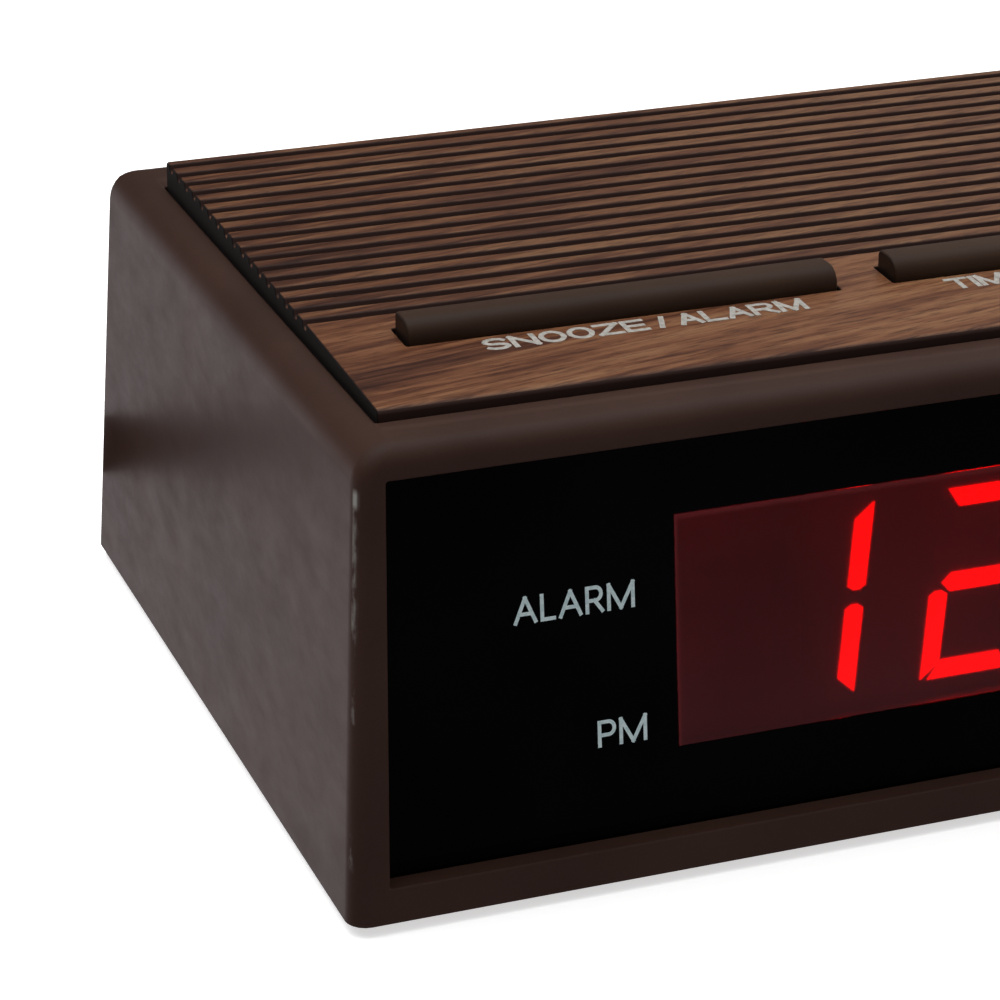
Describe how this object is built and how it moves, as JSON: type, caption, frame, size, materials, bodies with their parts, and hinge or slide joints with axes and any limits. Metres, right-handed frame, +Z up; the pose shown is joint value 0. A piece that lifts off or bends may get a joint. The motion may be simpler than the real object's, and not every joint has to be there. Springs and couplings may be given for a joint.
{
  "type": "alarm clock",
  "caption": "Low mains-powered bedside alarm clock with a seven-segment display behind a dark red window, a ribbed woodgrain top, a long snooze bar, short setting keys and a rear slide switch.",
  "frame": {"origin": "on the table, under the middle of the clock", "axes": "+X along the width, to the right seen from the front; +Y to the back; +Z up"},
  "size_m": [0.168, 0.1074, 0.0574],
  "materials": {
    "case_plastic": "satin moulded ABS, dark brown",
    "base_plastic": "fine matt moulded plastic",
    "walnut_film": "glossy walnut-print film over a ribbed moulding",
    "front_gloss": "polished black acrylic",
    "red_filter": "polished dark red acrylic",
    "key_plastic": "satin moulded plastic, dark brown",
    "switch_black": "satin moulded plastic",
    "ivory_plastic": "natural nylon",
    "spring_steel": "drawn wire",
    "circuit_board": "phenolic paper laminate",
    "display_plastic": "matt moulded housing with red segments",
    "led_epoxy": "cast red epoxy",
    "component_epoxy": "matt moulded epoxy",
    "capacitor_sleeve": "shrunk PVC sleeve",
    "transformer_steel": "varnished steel laminations",
    "coil_tape": "polyester winding tape",
    "plated_steel": "zinc-plated steel",
    "buzzer_plastic": "satin moulded plastic",
    "brass": "rolled brass",
    "ribbon_pvc": "grey PVC ribbon cable",
    "foot_rubber": "matt black rubber",
    "label_foil": "printed foil"
  },
  "bodies": {
    "clock_case": {"alarm_indicator_led": "led_epoxy", "alarm_switch_body": "switch_black", "base_plate": "base_plastic", "base_screw_1": "plated_steel", "base_screw_2": "plated_steel", "base_screw_3": "plated_steel", "base_screw_4": "plated_steel", "buzzer_disc": "brass", "buzzer_housing": "buzzer_plastic", "cabinet": "case_plastic", "clock_chip": "component_epoxy", "cord_grommet": "foot_rubber", "display_board": "circuit_board", "display_ribbon": "ribbon_pvc", "driver_transistor": "component_epoxy", "fast_spring": "spring_steel", "fast_switch_body": "switch_black", "filter_capacitor": "capacitor_sleeve", "foot_1": "foot_rubber", "foot_2": "foot_rubber", "foot_3": "foot_rubber", "foot_4": "foot_rubber", "front_panel": "front_gloss", "key_board": "circuit_board", "key_board_screw_1": "plated_steel", "key_board_screw_2": "plated_steel", "key_ribbon": "ribbon_pvc", "led_display": "display_plastic", "main_board": "circuit_board", "main_board_screw_1": "plated_steel", "main_board_screw_2": "plated_steel", "pm_indicator_led": "led_epoxy", "rating_label": "label_foil", "rectifier_diode_1": "component_epoxy", "rectifier_diode_2": "component_epoxy", "red_display_window": "red_filter", "slow_spring": "spring_steel", "slow_switch_body": "switch_black", "snooze_alarm_spring_left": "spring_steel", "snooze_alarm_spring_right": "spring_steel", "snooze_alarm_switch_body": "switch_black", "time_spring": "spring_steel", "time_switch_body": "switch_black", "timing_capacitor": "capacitor_sleeve", "transformer_coil": "coil_tape", "transformer_core": "transformer_steel", "transformer_screw_1": "plated_steel", "transformer_screw_2": "plated_steel", "transformer_strap": "plated_steel", "woodgrain_top_panel": "walnut_film"},
    "snooze_alarm_button": {"snooze_alarm_key": "key_plastic", "snooze_alarm_switch_plunger": "ivory_plastic"},
    "time_button": {"time_key": "key_plastic", "time_switch_plunger": "ivory_plastic"},
    "fast_button": {"fast_key": "key_plastic", "fast_switch_plunger": "ivory_plastic"},
    "slow_button": {"slow_key": "key_plastic", "slow_switch_plunger": "ivory_plastic"},
    "alarm_slider": {"alarm_switch_knob": "switch_black"}
  },
  "joints": [
    {"name": "snooze_alarm_press", "type": "slide", "parent": "clock_case", "child": "snooze_alarm_button", "axis": [0, 0, -1], "range_m": [0, 0.0015], "stiffness_N_per_m": 600, "springref_m": -0.0008, "deforming": ["snooze_alarm_spring_left", "snooze_alarm_spring_right"]},
    {"name": "time_press", "type": "slide", "parent": "clock_case", "child": "time_button", "axis": [0, 0, -1], "range_m": [0, 0.0015], "stiffness_N_per_m": 400, "springref_m": -0.0008, "deforming": ["time_spring"]},
    {"name": "fast_press", "type": "slide", "parent": "clock_case", "child": "fast_button", "axis": [0, 0, -1], "range_m": [0, 0.0015], "stiffness_N_per_m": 400, "springref_m": -0.0008, "deforming": ["fast_spring"]},
    {"name": "slow_press", "type": "slide", "parent": "clock_case", "child": "slow_button", "axis": [0, 0, -1], "range_m": [0, 0.0015], "stiffness_N_per_m": 400, "springref_m": -0.0008, "deforming": ["slow_spring"]},
    {"name": "alarm_slide", "type": "slide", "parent": "clock_case", "child": "alarm_slider", "axis": [1, 0, 0], "range_m": [0, 0.004]}
  ]
}
